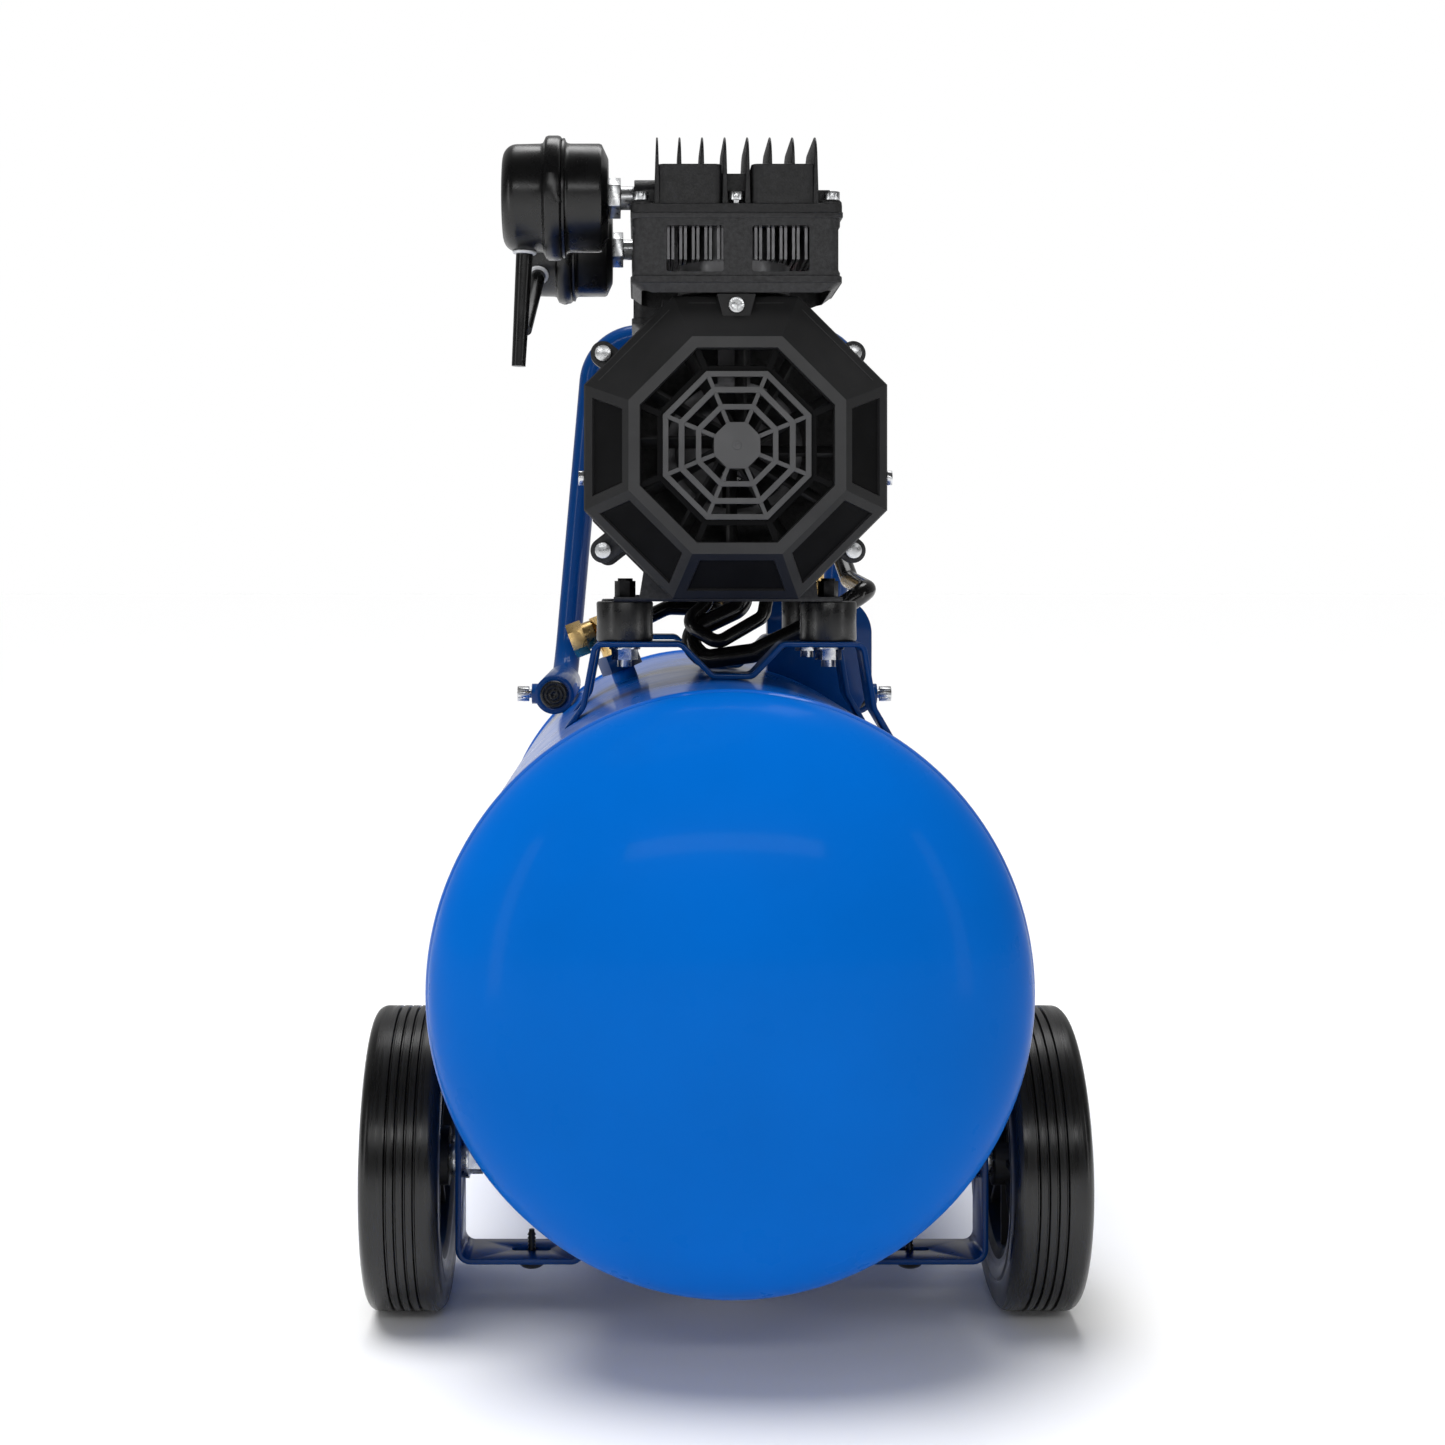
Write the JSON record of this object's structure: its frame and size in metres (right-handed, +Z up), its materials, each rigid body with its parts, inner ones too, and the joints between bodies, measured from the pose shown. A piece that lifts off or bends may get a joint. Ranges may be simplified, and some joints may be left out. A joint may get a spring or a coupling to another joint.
{
  "type": "air compressor",
  "caption": "Portable oil-free air compressor: horizontal blue tank on wheels with a pull-out handle and a fan-cooled motor pump on rubber mounts.",
  "frame": {"origin": "on the floor under the middle of the whole object's box", "axes": "+Y along the tank from the wheel end to the handle end, +X to the right as seen from the wheel end, +Z up"},
  "size_m": [0.39, 0.754, 0.65],
  "materials": {
    "tank_paint": "bright blue gloss enamel on steel",
    "frame_paint": "blue gloss enamel on steel tube and strip",
    "black_plastic": "charcoal moulded plastic, fine texture",
    "filter_plastic": "black semi-gloss moulded plastic",
    "cast_black": "die-cast aluminium with black textured paint",
    "cast_dark": "die-cast aluminium with dark grey paint",
    "bare_aluminium": "as-cast and machined",
    "zinc_steel": "zinc-plated fasteners",
    "core_steel": "stacked laminations",
    "copper": "enamelled copper wire",
    "brass": "machined brass",
    "tyre_rubber": "solid black rubber tyre",
    "rubber": "black rubber",
    "hose_rubber": "black sleeved hose and cable",
    "red_plastic": "red moulded plastic",
    "filter_paper": "pleated felt"
  },
  "bodies": {
    "chassis": {"tank_shell": "tank_paint", "tank_front_head": "tank_paint", "tank_rear_head": "tank_paint", "tank_bosses": "tank_paint", "drain_valve": "brass", "wheel_bracket": "frame_paint", "wheel_axles": "zinc_steel", "bumper_plugs": "rubber", "foot_bracket": "frame_paint", "rubber_feet": "rubber", "chassis_fasteners": "zinc_steel", "handle_sleeves": "frame_paint", "motor_cradles": "frame_paint", "vibration_mounts": "rubber", "stator_core": "core_steel", "stator_windings": "copper", "crankcases": "cast_dark", "through_bolts": "zinc_steel", "shaft_bearings": "zinc_steel", "cylinders": "bare_aluminium", "valve_plates": "cast_dark", "cylinder_heads": "cast_black", "head_bolts": "zinc_steel", "fan_cover_front": "black_plastic", "fan_cover_rear": "black_plastic", "cylinder_shrouds": "cast_dark", "filter_bodies": "filter_plastic", "filter_covers": "filter_plastic", "filter_elements": "filter_paper", "filter_nipples": "zinc_steel", "check_valve": "brass", "discharge_lines": "hose_rubber", "console_plate": "frame_paint", "manifold": "brass", "pressure_switch": "black_plastic", "safety_valve": "brass", "gauges": "black_plastic", "outlet_coupler": "brass", "motor_wiring": "hose_rubber"},
    "drain_knob": {"drain_knob": "black_plastic"},
    "wheel_left": {"wheel_left_rim": "black_plastic", "wheel_left_tyre": "tyre_rubber"},
    "wheel_right": {"wheel_right_rim": "black_plastic", "wheel_right_tyre": "tyre_rubber"},
    "handle": {"handle_tube": "frame_paint", "handle_end_plugs": "filter_plastic"},
    "lock_screw_left": {"lock_screw_left": "zinc_steel"},
    "lock_screw_right": {"lock_screw_right": "zinc_steel"},
    "crank": {"shaft": "zinc_steel", "rotor": "core_steel", "eccentrics": "bare_aluminium", "cooling_fans": "black_plastic"},
    "piston_front": {"piston_rod_front": "bare_aluminium"},
    "piston_rear": {"piston_rod_rear": "bare_aluminium"},
    "switch_knob": {"switch_knob": "red_plastic"},
    "safety_ring": {"safety_ring": "zinc_steel"},
    "regulator_knob": {"regulator_knob": "black_plastic"},
    "needle_tank": {"gauge_needle_tank": "red_plastic"},
    "needle_outlet": {"gauge_needle_outlet": "red_plastic"},
    "coupler_sleeve": {"coupler_sleeve": "zinc_steel"}
  },
  "joints": [
    {"name": "wheel_left_spin", "type": "hinge", "parent": "chassis", "child": "wheel_left", "pos_m": [-0.171, -0.177, 0.082], "axis": [1, 0, 0], "continuous": true},
    {"name": "wheel_right_spin", "type": "hinge", "parent": "chassis", "child": "wheel_right", "pos_m": [0.171, -0.177, 0.082], "axis": [1, 0, 0], "continuous": true},
    {"name": "handle_slide", "type": "slide", "parent": "chassis", "child": "handle", "axis": [0, 1, 0], "range_m": [0, 0.09]},
    {"name": "lock_screw_left_turn", "type": "hinge", "parent": "chassis", "child": "lock_screw_left", "pos_m": [-0.119, 0.127, 0.32276], "axis": [-1, 0, 0], "range_deg": [0, 360]},
    {"name": "lock_screw_right_turn", "type": "hinge", "parent": "chassis", "child": "lock_screw_right", "pos_m": [0.119, 0.127, 0.32276], "axis": [1, 0, 0], "range_deg": [0, 360]},
    {"name": "crank_spin", "type": "hinge", "parent": "chassis", "child": "crank", "pos_m": [0.0075, -0.079, 0.4745], "axis": [0, 1, 0], "continuous": true},
    {"name": "piston_front_slide", "type": "slide", "parent": "chassis", "child": "piston_front", "axis": [0, 0, 1], "range_m": [-0.008, 0.008]},
    {"name": "piston_rear_slide", "type": "slide", "parent": "chassis", "child": "piston_rear", "axis": [0, 0, 1], "range_m": [-0.008, 0.008]},
    {"name": "drain_turn", "type": "hinge", "parent": "chassis", "child": "drain_knob", "pos_m": [0, 0.06, 0.024], "axis": [0, 0, 1], "range_deg": [0, 360]},
    {"name": "switch_pull", "type": "slide", "parent": "chassis", "child": "switch_knob", "axis": [0, 0, 1], "range_m": [0, 0.006]},
    {"name": "safety_pull", "type": "slide", "parent": "chassis", "child": "safety_ring", "axis": [0, 1, 0], "range_m": [0, 0.006], "stiffness_N_per_m": 400},
    {"name": "regulator_turn", "type": "hinge", "parent": "chassis", "child": "regulator_knob", "pos_m": [0.008, 0.14, 0.46], "axis": [0, 0, 1], "range_deg": [-540, 540]},
    {"name": "needle_tank_turn", "type": "hinge", "parent": "chassis", "child": "needle_tank", "pos_m": [0.078, 0.172, 0.435], "axis": [0, -1, 0], "range_deg": [0, 270], "stiffness_Nm_per_rad": 0.002},
    {"name": "needle_outlet_turn", "type": "hinge", "parent": "chassis", "child": "needle_outlet", "pos_m": [0.008, 0.172, 0.435], "axis": [0, -1, 0], "range_deg": [0, 270], "stiffness_Nm_per_rad": 0.002},
    {"name": "coupler_sleeve_slide", "type": "slide", "parent": "chassis", "child": "coupler_sleeve", "axis": [1, 0, 0], "range_m": [0, 0.005], "stiffness_N_per_m": 500}
  ]
}
